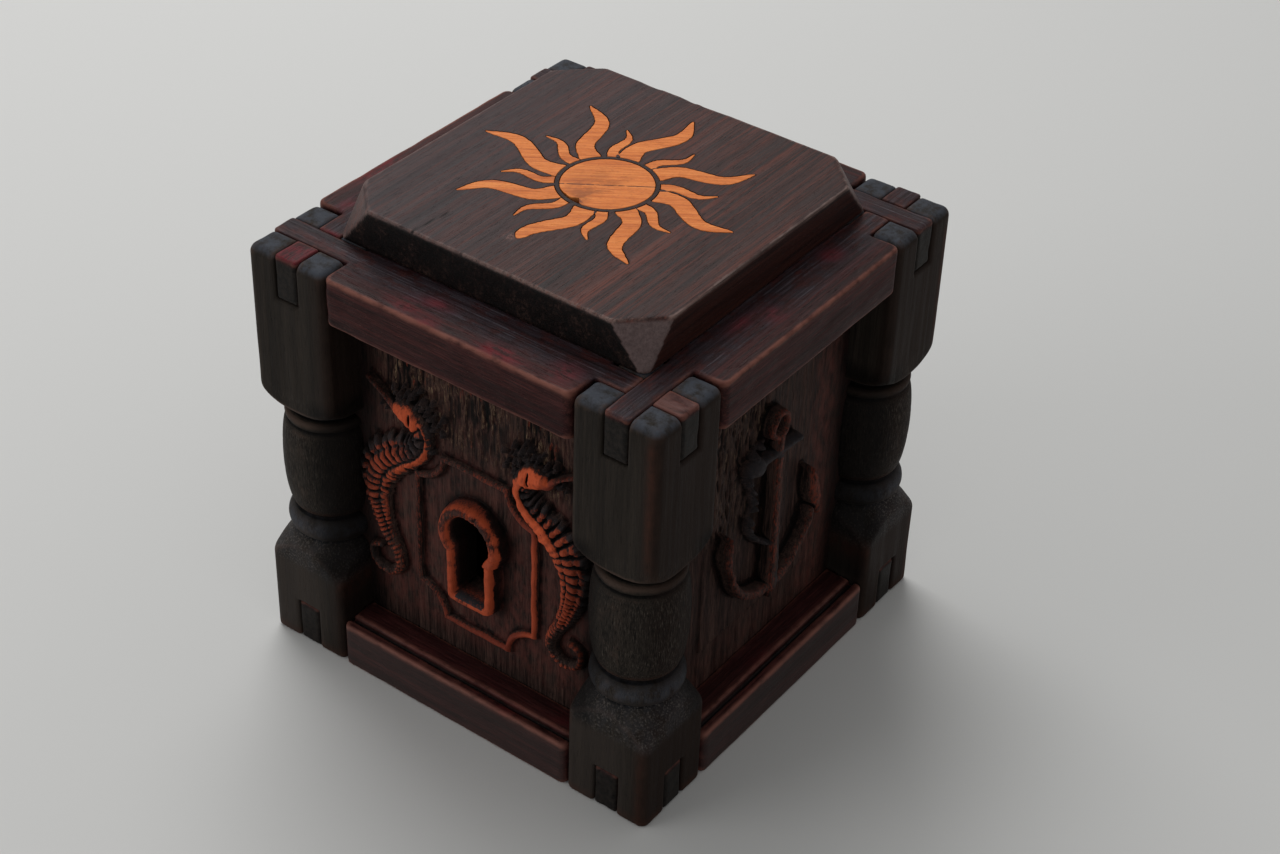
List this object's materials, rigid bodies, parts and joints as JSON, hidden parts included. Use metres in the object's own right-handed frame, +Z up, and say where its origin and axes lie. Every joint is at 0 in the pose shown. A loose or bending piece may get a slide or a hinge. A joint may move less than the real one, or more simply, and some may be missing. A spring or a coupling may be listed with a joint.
{
  "type": "wooden puzzle box",
  "caption": "Square wooden puzzle box with turned corner posts, lapped rails, carved nautical panels, a keyhole and a lift-off lid inlaid with a sun; a hidden sliding bolt locks the lid.",
  "frame": {"origin": "middle of the square footprint, on the table under the posts", "axes": "+Z up; -Y is the outward normal of the front with the keyhole; +X is the outward normal of the right side with the anchor"},
  "size_m": [0.1, 0.1, 0.1075],
  "materials": {
    "post_wood": "ebonised turned hardwood with grey-rubbed edges and beads, satin",
    "rail_wood": "dark red-brown mahogany, waxed, with orange and pink dry-brushed edges",
    "panel_wood": "near-black vertical grain, carving rubbed with burnt orange",
    "lid_wood": "purplish brown open-grained wood, oiled, semi-matte",
    "inlay_wood": "light orange fine-grained wood, sanded flush",
    "inner_wood": "dark brown board, unpolished",
    "lock_wood": "medium brown hardwood, planed",
    "pale_wood": "pale close-grained hardwood, plain"
  },
  "bodies": {
    "box": {"post_left": "post_wood", "post_front": "post_wood", "post_right": "post_wood", "post_back": "post_wood", "top_rail_front": "rail_wood", "top_rail_right": "rail_wood", "top_rail_back": "rail_wood", "top_rail_left": "rail_wood", "bottom_rail_front": "rail_wood", "bottom_rail_right": "rail_wood", "bottom_rail_back": "rail_wood", "bottom_rail_left": "rail_wood", "front_panel": "panel_wood", "right_panel": "panel_wood", "back_panel": "panel_wood", "left_panel": "panel_wood", "bottom_board": "inner_wood", "lock_board": "inner_wood", "bolt_guides": "lock_wood", "guide_pegs": "pale_wood", "pin_block": "lock_wood"},
    "lid": {"lid_board": "lid_wood", "lid_plug": "inner_wood", "lid_hasp": "lock_wood", "sun_disc": "inlay_wood", "sun_long_rays": "inlay_wood", "sun_short_rays": "inlay_wood"},
    "bolt": {"lock_bolt": "lock_wood"},
    "pin": {"gravity_pin": "pale_wood"}
  },
  "joints": [
    {"name": "lid_lift", "type": "slide", "parent": "box", "child": "lid", "axis": [0, 0, 1], "range_m": [0, 0.06]},
    {"name": "bolt_slide", "type": "slide", "parent": "box", "child": "bolt", "axis": [1, 0, 0], "range_m": [0, 0.007]},
    {"name": "pin_drop", "type": "slide", "parent": "box", "child": "pin", "axis": [0, 0, 1], "range_m": [0, 0.004]}
  ]
}
